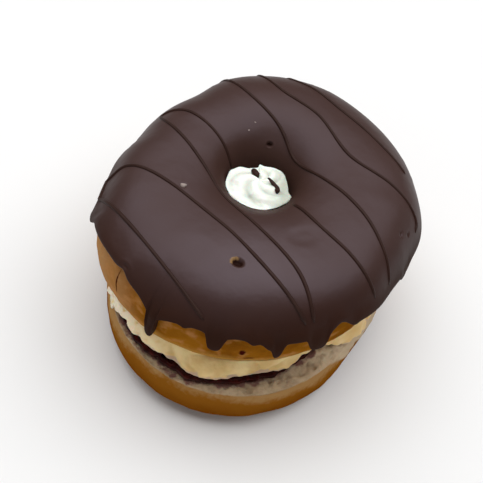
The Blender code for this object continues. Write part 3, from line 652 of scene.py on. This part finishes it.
# Icing: a coat of chocolate that the upper half was dipped in. It set satin on top and dull at its sides,
# with a thick lower edge and blunt drips, a burst bubble and small pits, and it lines the hole.
ICING_COLUMNS = 520
ICING_ROWS = 150
ICING_LIP_ROWS = 9
ICING_BACK_ROWS = 22
EDGE_TURN = 20  # degrees round the section from the outer waist up to the icing's edge
EDGE_SWELLS = (  # rise of the edge, direction and half width, all in degrees, as the turns are
    (3, -129, 2.2), (13, -134.5, 20), (4, -101, 6), (3, -89, 4), (-2.5, -70, 7), (7.5, -56.3, 3.2),
    (-12, -22, 22), (-14, 12, 26), (-6, 150, 30),
)
DRIPS = (  # direction, half width, drop and bluntness
    (-154.5, 3.4, 10, 4), (-114.9, 1.6, 27, 9), (-114.6, 4.2, 8, 2), (-104.9, 1.3, 2.5, 2),
    (-95.5, 2.6, 16.5, 5), (-84.6, 1.5, 3, 2), (-78.4, 3.0, 8, 3), (-77.0, 1.6, 11, 4),
    (-64.1, 3.3, 15.5, 6), (-51.3, 1.8, 2.5, 2), (-18, 3, 12, 4), (24, 3.5, 22, 6), (47, 2.5, 12, 4),
    (76, 3.5, 26, 6), (98, 2.5, 14, 4), (121, 4, 28, 6), (146, 3, 16, 4), (172, 3.5, 26, 6),
)
DRIP_SHARE = 0.4  # of the way to the hole, over which the drips pull the coat down
DRIP_EASING = 1.5
DRIP_RELIEF = 0.0005
DRIP_CORE = 0.8  # share of a drip's width that stands up
DRIP_FADE = (0.8, 1.6)  # shares of its drop, up from the edge, between which its relief ends
DRIP_FULL = 20  # degrees of drop that give it the whole relief
BULGES = ((-155.5, 7, 3.0, 6, 0.0010),)  # direction, turn, half width and half height in degrees, and rise
ICING_WAVES = ((0.00040, 0.017, 41), (0.00017, 0.0085, 42))
CROWDING = 2.0  # columns that a drip has besides each one that the even coat would have
CROWDING_DROP = 12  # degrees of drop that give it all of these
HOLE_TURN = 204  # degrees round the section where the coat ends in the hole
HOLE_WAVE = 3
EDGE_BEAD = 0.0006
BEAD_WIDTH = 9
LIP_TURN = 2.2
PITS = (  # direction, turn, half length round the ring, half length across it, depth: in degrees and mm
    (-96, 80.5, 2.2, 1.5, 1.15), (98, 140, 1.2, 0.9, 0.9), (-14.3, 44, 1.0, 0.7, 0.7),
    (-11, 36, 0.8, 0.6, 0.6), (-150, 105, 1.1, 1.0, 0.35), (-129, 37, 2.2, 1.3, 1.1),
    (-60, 101, 6.0, 4.0, 0.22), (-113, 78, 7.0, 5.0, 0.22),
)
PIT_WALL = (0.35, 1.0)  # shares of a pit's size between which its floor climbs to the coat
PIT_RIM = 0.09  # height of the rim round a pit, as a share of its depth
PIT_RIM_RING = (1.15, 0.22)  # where the rim stands and how broad it is, as shares of the pit's size
TORN_RING = (0.85, 0.20)
TORN_SIDE = (-0.8, 0.6, 0)  # the side of the burst bubble, the first pit, where its rim is torn
CHOCOLATE = (0.034, 0.0118, 0.0062)
CHOCOLATE_DEEP = (0.015, 0.0042, 0.0022)
# painted light: a paler chocolate for the lit top of the coat
CHOCOLATE_LIT_TOP = (0.054, 0.028, 0.023)
SHEEN_TINT = (0.92, 0.84, 1.0, 1)
SHEEN_FRONT = (-90, 30)  # where the coat is most satin: direction and half width
SHEEN_EVEN, SHEEN_EXTRA = 0.75, 0.45  # how satin it is elsewhere, and how much more there
SHEEN_HEIGHT = (0.0365, 0.0480)  # between which it turns satin
SHEEN_TILT = 0.12  # rise of those heights towards the front
SHEEN_LIP = (0.0022, 0.0065)  # from the hole's edge, between which it turns satin
LIT_TOP_HEIGHT = (0.0360, 0.0520)  # heights between which painted light makes the chocolate paler
# painted light: how much lower the paler top reaches towards the back
LIT_TOP_TILT = 0.25
BUBBLE_CRUST = (0.26, 0.15, 0.055)


def drip_drop(angle):
    """Degrees that the drips hang below the icing's level, as blunt fingers."""
    return sum(drop * hump(angle, toward, width, bluntness) for toward, width, drop, bluntness in DRIPS)


def icing_turn(angle, share):
    """Degrees round the section, from the icing's lower edge at share 0 to its end in the hole at 1."""
    level = EDGE_TURN + sum(change * hump(angle, toward, width) for change, toward, width in EDGE_SWELLS)
    end = HOLE_TURN + HOLE_WAVE * np.sin(3 * angle)
    pulled = np.maximum(1 - share / DRIP_SHARE, 0) ** DRIP_EASING
    return level + (end - level) * share - drip_drop(angle) * pulled


def icing_directions(count):
    """Directions round the ring that crowd together where the drips are."""
    fine = np.linspace(-np.pi, np.pi, 8 * 360 + 1)
    crowding = 1 + CROWDING * np.clip(drip_drop(fine) / CROWDING_DROP, 0, 1)
    along = np.concatenate(((0,), np.cumsum((crowding[1:] + crowding[:-1]) / 2)))
    return np.interp(np.arange(count) / count * along[-1], along, fine)


def icing_rise(angle, turn, edge):
    """How far the coat stands above its even surface: a bead at the edge, fuller drips and soft waves."""
    bead = EDGE_BEAD * np.exp(-(((turn - edge) / BEAD_WIDTH) ** 2))
    fullness = 0
    for toward, width, drop, _ in DRIPS:
        in_drip = 1 - ease(turn, edge + DRIP_FADE[0] * drop, edge + DRIP_FADE[1] * drop)
        fullness = fullness + hump(angle, toward, DRIP_CORE * width) * min(1, drop / DRIP_FULL) * in_drip
    bulge = sum(
        height * hump(angle, toward, width) * np.exp(-(((turn - middle) / half_height) ** 2))
        for toward, middle, width, half_height, height in BULGES
    )
    even = placed(angle, *iced_surface(angle, np.radians(turn), 0))
    return bead + DRIP_RELIEF * fullness + bulge + relief(even, *ICING_WAVES)


def sheen(points):
    """How satin the coat set: dull low down, most of all at the front, and inside the hole."""
    x, y, height = np.moveaxis(points - HOLE, -1, 0)
    from_lip = np.hypot(x, y) - lobed(np.arctan2(y, x), HOLE_RADIUS, HOLE_LOBES)
    level = SHEEN_EVEN + SHEEN_EXTRA * hump(np.arctan2(y, x), *SHEEN_FRONT)
    return ease(height + SHEEN_TILT * y, *SHEEN_HEIGHT) * ease(from_lip, *SHEEN_LIP) * level


def pitted(points):
    """How deep the pits go at each point, how high their rims stand, and where the bubble's rim is torn."""
    depth, rim, torn = (np.zeros(points.shape[:-1]) for _ in range(3))
    for toward, turn, half_length, half_breadth, deep in PITS:
        angle, turn = np.radians((toward, turn))
        away = 1000 * (points - placed(angle, *iced_surface(angle, turn, 0)))
        sideways = away @ np.array((-np.sin(angle), np.cos(angle), 0))
        onward = np.sqrt(np.maximum((away**2).sum(-1) - sideways**2, 0))
        far = np.hypot(sideways / half_length, onward / half_breadth)
        depth += deep / 1000 * (1 - ease(far, *PIT_WALL))
        rim += PIT_RIM * deep / 1000 * np.exp(-(((far - PIT_RIM_RING[0]) / PIT_RIM_RING[1]) ** 2))
        if deep == PITS[0][-1]:
            outward = (away @ np.array(TORN_SIDE)) / np.maximum(np.linalg.norm(away, axis=-1), 1e-9)
            torn = ease(outward, 0.1, 0.8) * np.exp(-(((far - TORN_RING[0]) / TORN_RING[1]) ** 2))
    return depth, rim, torn


angle = icing_directions(ICING_COLUMNS)[None, :]
outside = icing_turn(angle, np.linspace(0, 1, ICING_ROWS)[:, None])
inside = icing_turn(angle, np.linspace(1, 0, ICING_BACK_ROWS)[:, None])
edge = outside[:1]
rise = icing_rise(angle, outside, edge)
coat = placed(angle, *iced_surface(angle, np.radians(outside), -rise))
pit, pit_rim, torn = pitted(coat)
coat += facing(coat) * (pit_rim - pit)[..., None]
bend = np.linspace(0, np.pi, ICING_LIP_ROWS + 2)[1:-1, None]
lip_depth = (ICING - rise[:1]) / 2 + (ICING + rise[:1]) / 2 * np.cos(bend)
lip = placed(angle, *iced_surface(angle, np.radians(edge - LIP_TURN * np.sin(bend)), lip_depth))
end_bend = bend[::-1]
end_depth = (ICING - rise[-1:]) / 2 + (ICING + rise[-1:]) / 2 * np.cos(end_bend)
end = placed(angle, *iced_surface(angle, np.radians(outside[-1:] + LIP_TURN * np.sin(end_bend)), end_depth))
back = placed(angle, *iced_surface(angle, np.radians(inside), ICING))
icing = np.concatenate((lip, coat, end, back))
coat_rows = slice(ICING_LIP_ROWS, ICING_LIP_ROWS + ICING_ROWS)
pit_trait, torn_trait = np.zeros(icing.shape[:2]), np.zeros(icing.shape[:2])
pit_trait[coat_rows], torn_trait[coat_rows] = pit * 1000, torn

chocolate, point = new_finish("chocolate", Roughness=0.42, Specular_IOR_Level=0.5, Specular_Tint=SHEEN_TINT)
cloud = point.speckle(0.012, 3)
colour = (cloud * 0.4).between(CHOCOLATE, CHOCOLATE_DEEP)
# painted light: the top of the coat, reaching lower towards the back, is coloured paler
lit_top = (point.part(2) + point.part(1) * LIT_TOP_TILT).step(*LIT_TOP_HEIGHT) * (1 - cloud * 0.4)
colour = lit_top.between(colour, CHOCOLATE_LIT_TOP)
# painted shade: the pits are coloured a deeper brown
colour = point.trait("pit").step(0.45, 1.0).between(colour, CHOCOLATE_DEEP)
colour = point.trait("torn").step(0.2, 0.8).between(colour, BUBBLE_CRUST)
normal = point.speckle(0.0045, 2).bump(0.00015)
feed(chocolate, Base_Color=colour, Normal=normal)
nodes = chocolate.node_tree.nodes
satin_side = Signal(nodes["Principled BSDF"].outputs["BSDF"])
dull_side = point.node(
    "BsdfPrincipled", Base_Color=colour, Normal=normal, Roughness=0.6, Specular_IOR_Level=0.05,
)
satin_share = point.trait("sheen") * (cloud * 0.4 + 0.55)
both = point.node("MixShader", _0=satin_share, _1=dull_side, _2=satin_side)
chocolate.node_tree.links.new(both.socket, nodes["Material Output"].inputs["Surface"])
satin = sheen(icing) * (1 - ease(pit_trait, 0.2, 0.8))
ring_piece("icing_coat", icing, chocolate, "icing", pit=pit_trait, torn=torn_trait, sheen=satin)

# Drizzle: lines of the same chocolate from a fine nozzle that swept to and fro over the iced ring.
# Each is a half-round bead laid along a route, seen from above in millimetres from the hole's axis.
STRANDS = (
    ((-9, -49.2), (-14.3, -45.3), (-23.5, -37.6), (-37.3, -25.4), (-43.9, -18.8), (-45.9, -14.4),
     (-43.3, -9.6), (-38, -8.4), (-23.6, -14.9), (-8.4, -24.2), (7.1, -36.8), (16.9, -44.2)),
    ((18.9, -43), (12.1, -32.8), (-0.5, -20.9), (-11.1, -11.7), (-20.5, -1.7), (-34.2, 11.8),
     (-34, 15.6), (-27.6, 15.3), (-17.3, 9), (-11.4, 4.2)),
    ((8, -8.4), (16.1, -16.8), (25.5, -23.8), (34.3, -30.3)),
    ((-22, 37.5), (-11, 26.8), (-0.2, 18.4), (6.4, 9.9), (14.9, 2.1), (26.3, -8), (34.9, -18.5),
     (38.4, -24)),
    ((-10.5, 41.5), (-1.8, 31.6), (10.7, 24.3), (22, 10.6), (35.5, 4), (43.6, -1.4), (44.6, -5)),
    ((-1, 41), (9.5, 35.6), (23.4, 25.1), (39, 11.8)),
)
STRAND_WIDTH = 0.0010
STRAND_HEIGHT = 0.00042
STRAND_ROOT = 0.0003
STRAND_STEP = 0.0005
STRAND_MARGIN = 4  # degrees that a line stays up from the icing's lower edge
STRAND_SIDES = 10
STRAND_FLOW = (0.16, 0.007)  # by how much a line thickens and thins, and over what length
STRAND_SEED = 50
STRAND_TIP = 0.3  # its thickness at an end, as a share
STRAND_TAPER = 3  # steps along it in which it would gain its whole thickness
DRIZZLE_DARK = (0.022, 0.0085, 0.0058)
DRIZZLE_BROWN = (0.036, 0.0145, 0.0100)


def on_icing(plan):
    """Points and outward normals of the icing's surface above a route seen from the top."""
    angle = np.arctan2(plan[:, 1], plan[:, 0])
    reach = np.linalg.norm(plan, axis=1)
    turns = np.radians(np.arange(0, 181))
    tables = iced_surface(angle[:, None], turns[None, :], 0)[0]
    turn = np.array([np.interp(-far, -table, turns) for far, table in zip(reach, tables)])
    edge = icing_turn(angle, np.zeros_like(angle))
    turn = np.maximum(turn, np.radians(edge + STRAND_MARGIN))

    def surface(angle, turn):
        """A point on the coat, its rise included."""
        return placed(angle, *iced_surface(angle, turn, -icing_rise(angle, np.degrees(turn), edge)))

    nudge = 1e-3
    point = surface(angle, turn)
    normal = np.cross(surface(angle + nudge, turn) - point, surface(angle, turn + nudge) - point)
    return point, normal / np.linalg.norm(normal, axis=1, keepdims=True)


def bead_along(point, normal, width, height, root):
    """Rings of points round a route: a half-ellipse that stands on the surface, and a flat root under it."""
    side = np.cross(np.gradient(point, axis=0), normal)
    side /= np.linalg.norm(side, axis=1, keepdims=True)
    bend = np.linspace(np.pi, 0, STRAND_SIDES)
    sideways = np.concatenate((np.cos(bend), (0.7, -0.7))) / 2
    upward = np.concatenate((np.sin(bend), (0, 0)))
    sunk = np.concatenate((np.zeros(STRAND_SIDES), (1, 1)))
    out = upward[None, :] * height[:, None] - sunk * root
    across = sideways[None, :] * width[:, None]
    return point[:, None] + side[:, None] * across[..., None] + normal[:, None] * out[..., None]


def joined_tubes(name, tubes, material):
    """One piece of several closed tubes, each a grid whose rows are rings of points."""
    vertices, faces, first = [], [], 0
    for rings in tubes:
        rows, columns = rings.shape[:2]
        index = first + np.arange(rows * columns).reshape(rows, columns)
        lower, upper = index[:-1], index[1:]
        quads = np.stack((np.roll(lower, 1, 1), lower, upper, np.roll(upper, 1, 1)), axis=-1)
        faces += quads.reshape(-1, 4).tolist()
        faces += [index[0][::-1].tolist(), index[-1].tolist()]
        vertices += rings.reshape(-1, 3).tolist()
        first += rows * columns
    data = bpy.data.meshes.new(name)
    data.from_pydata(vertices, [], faces)
    data.shade_smooth()
    return dressed(bpy.data.objects.new(name, data), material, None)


beads = []
for number, route in enumerate(STRANDS):
    point_on, normal_on = on_icing(curve_through(np.array(route) / 1000, STRAND_STEP))
    flow = 1 + relief(point_on, (*STRAND_FLOW, STRAND_SEED + number))
    from_end = np.minimum(np.arange(len(flow)), np.arange(len(flow))[::-1])
    flow *= np.minimum(1, STRAND_TIP + from_end / STRAND_TAPER)
    beads.append(bead_along(point_on, normal_on, STRAND_WIDTH * flow, STRAND_HEIGHT * flow, STRAND_ROOT))
drizzled, point = new_finish("drizzle", Roughness=0.5, Specular_IOR_Level=0.14)
feed(drizzled, Base_Color=point.speckle(0.003, 3).between(DRIZZLE_DARK, DRIZZLE_BROWN))
joined_tubes("drizzle", beads, drizzled)

# Crumbs: a few pale crumbs of dough that fell on the icing while it was wet and stuck there. Each is an
# uneven ball, half sunk into the coat.
CRUMBS = ((-150, 105, 0.95), (113.3, 118.7, 0.35), (121.2, 125.2, 0.40), (119, 121, 0.22))  # size in mm
CRUMB_SIDES = 10
CRUMB_POLE = 0.12  # radians from a pole, where a flat end closes the ball
CRUMB_UNEVEN = (0.3, 0.8)  # share of its size, and size of its bumps beside its own
CRUMB_SQUASH = (1, 0.8, 0.6)
CRUMB_GREY = (0.24, 0.18, 0.16)
CRUMB_WHITE = (0.42, 0.36, 0.33)

lumps = []
for toward, turn, size in CRUMBS:
    toward, turn = np.radians((toward, turn))
    tilt = np.linspace(CRUMB_POLE, np.pi - CRUMB_POLE, CRUMB_SIDES)[::-1, None]
    twist = (np.arange(CRUMB_SIDES) * 2 * np.pi / CRUMB_SIDES)[None, :]
    parts = np.sin(tilt) * np.cos(twist), np.sin(tilt) * np.sin(twist), np.cos(tilt)
    ball = np.stack(np.broadcast_arrays(*parts), axis=-1)
    ball = ball * (1 + relief(ball, (*CRUMB_UNEVEN, round(1000 * size))))[..., None]
    lumps.append(placed(toward, *iced_surface(toward, turn, 0)) + size / 1000 * ball * CRUMB_SQUASH)
stuck, point = new_finish("stuck_crumb", Roughness=0.8, Specular_IOR_Level=0.1)
feed(stuck, Base_Color=point.speckle(0.0006, 3).between(CRUMB_GREY, CRUMB_WHITE))
joined_tubes("icing_crumbs", lumps, stuck)

# Swirl: whipped cream piped into the hole from above. It follows the hole's wall at the left and the front,
# parts from it at the back right, and ends in soft turning ridges under a low top.
SWIRL_COLUMNS = 240
SWIRL_WALL_ROWS = 60
SWIRL_TOP_ROWS = 44
SWIRL_TOP_FROM, SWIRL_TOP_TO = 0.97, 0.03  # shares of the way from the middle to the brim
SWIRL_BASE = UPPER_CUT + GAP
SWIRL_TURNS = (205, 150)  # how far round the section its side follows the hole's wall, foot and brim
SWIRL_SLACK = 0.0002
SWIRL_BRIM = (  # as directions and distances from the hole's axis in mm; at the front it meets the wall
    (-190, 11.4), (-176, 12.3), (-160, 12.6), (-140, 12.4), (-115, 11.2), (-90, 10.2), (-65, 9.2),
    (-45, 8.6), (-27, 8.5), (-15, 6.6), (0, 6.1), (28, 6.2), (52, 6.9), (66, 7.0), (95, 6.8), (108, 7.1),
    (116, 7.9), (124, 6.9), (142, 8.0), (153, 9.5),
)
SWIRL_RISE = 0.0018  # of the top above the brim
SWIRL_RIDGES = 5
SWIRL_DEPTH = 0.0008  # of the grooves between the ridges
SWIRL_GROOVE = -83  # direction of one groove at the brim
SWIRL_TWIST = 110  # degrees that a groove turns from the brim to the middle
SWIRL_MIDDLE = (-0.0026, -0.0005)
SWIRL_FOLDS = ((0.00055, 0.0034, 61), (0.00016, 0.0012, 62))
SWIRL_SHADED = (-0.0015, 0.0050)  # places along X between which painted shade makes its colour duller
WHIPPED = (0.93, 0.97, 0.89)
WHIPPED_SHADE = (0.46, 0.49, 0.41)


def grooved(angle, turned):
    """1 on the crest of a ridge and 0 in a groove, where the ridges have turned some degrees."""
    return np.abs(np.sin(SWIRL_RIDGES / 2 * (angle - np.radians(SWIRL_GROOVE + turned))))


def swirl_side(angle, climb):
    """A point of the swirl's side, from its foot at climb 0 to its brim at 1: (distance, height)."""
    foot, brim = SWIRL_TURNS
    parting = iced_surface(angle, np.radians(brim), 0)[0] - traced(angle, SWIRL_BRIM)
    reach, height = iced_surface(angle, np.radians(foot + (brim - foot) * climb), 0)
    height = np.where(climb > 0, height, SWIRL_BASE)
    return reach - np.maximum(parting * ease(climb, 0.3, 1), SWIRL_SLACK), height


def swirl_cap(angle, share):
    """A point of the swirl's top, from its middle at share 0 to its brim at 1, as a place in space."""
    brim = placed(angle, *swirl_side(angle, np.ones_like(share)))
    middle = HOLE + np.array((*SWIRL_MIDDLE, brim[..., 2].mean()))
    ridge = 4 * SWIRL_DEPTH * share * (1 - share) * (grooved(angle, -SWIRL_TWIST * (1 - share)) - 1)
    lift = SWIRL_RISE * (1 - share**2) + ridge
    return middle + (brim - middle) * share[..., None] + lift[..., None] * np.array((0, 0, 1))


turning = (np.arange(SWIRL_COLUMNS) * 2 * np.pi / SWIRL_COLUMNS)[None, :]
swirl_wall = placed(turning, *swirl_side(turning, np.linspace(0, 1, SWIRL_WALL_ROWS)[:, None]))
cap_share = np.linspace(SWIRL_TOP_FROM, SWIRL_TOP_TO, SWIRL_TOP_ROWS)[:, None]
cap_share = np.broadcast_to(cap_share, (SWIRL_TOP_ROWS, SWIRL_COLUMNS))
swirl_top = swirl_cap(turning, cap_share)
swirl = np.concatenate((swirl_wall, swirl_top))
swirl += facing(swirl) * relief(swirl, *SWIRL_FOLDS)[..., None]
whipped, point = new_finish(
    "whipped_cream", Roughness=0.5, Specular_IOR_Level=0.2, Subsurface_Weight=0.2, Subsurface_Scale=0.002
)
in_groove = np.zeros(swirl.shape[:2])
cap_groove = 1 - grooved(turning, -SWIRL_TWIST * (1 - cap_share))
in_groove[len(swirl_wall):] = 4 * cap_share * (1 - cap_share) * cap_groove
# painted shade: the right of the swirl and its grooves are coloured greyer
shaded_side = (point.part(0) + (point.speckle(0.004, 2) - 0.5) * 0.006).step(*SWIRL_SHADED) * 0.9
painted_shade = shaded_side.math("MAXIMUM", shaded_side, point.trait("groove") * 0.7)
feed(whipped, Base_Color=painted_shade.between(WHIPPED, WHIPPED_SHADE), Normal=point.speckle(0.0016, 2).bump(0.0002))
ring_piece("whipped_swirl", swirl, whipped, "cream_swirl", closed=False, groove=in_groove)

# Strokes: where the drizzle's nozzle crossed the swirl it left two short drops of chocolate on the cream.
# Each is a bead with round ends that is sunk into the top of the swirl.
STROKES = (  # routes from the hole's axis and widths along them, in millimetres
    (((-5.3, 3.9), (-4.4, 2.6), (-3.2, 1.0)), (1.6, 2.0, 2.1)),
    (((-0.4, 1.0), (0.6, 0.4), (1.7, -0.5), (2.9, -1.8), (3.0, -3.4)), (0.9, 1.0, 1.1, 1.3, 2.0)),
)
STROKE_STEP = 0.00025
STROKE_LIFT = 0.0001
STROKE_ROOT = 0.0009
STROKE_HEIGHT = 0.45  # as a share of its width

drops = []
for route, widths in STROKES:
    path = curve_through(np.array(route) / 1000, STROKE_STEP) + HOLE[:2]
    apart = np.linalg.norm(swirl_top[..., :2].reshape(-1, 1, 2) - path[None], axis=-1)
    height = swirl_top[..., 2].ravel()[apart.argmin(axis=0)] + STROKE_LIFT
    number = np.arange(len(path))
    path = np.column_stack((path, np.polyval(np.polyfit(number, height, 2), number)))
    width = np.interp(np.linspace(0, 1, len(path)), np.linspace(0, 1, len(widths)), widths) / 1000
    from_end = np.minimum(number, number[::-1])
    width = width * np.sqrt(np.minimum(1, (from_end + 0.2) * STROKE_STEP / (width / 2)))
    upright = np.tile((0.0, 0.0, 1.0), (len(path), 1))
    drops.append(bead_along(path, upright, width, width * STROKE_HEIGHT, STROKE_ROOT))
joined_tubes("swirl_strokes", drops, drizzled)
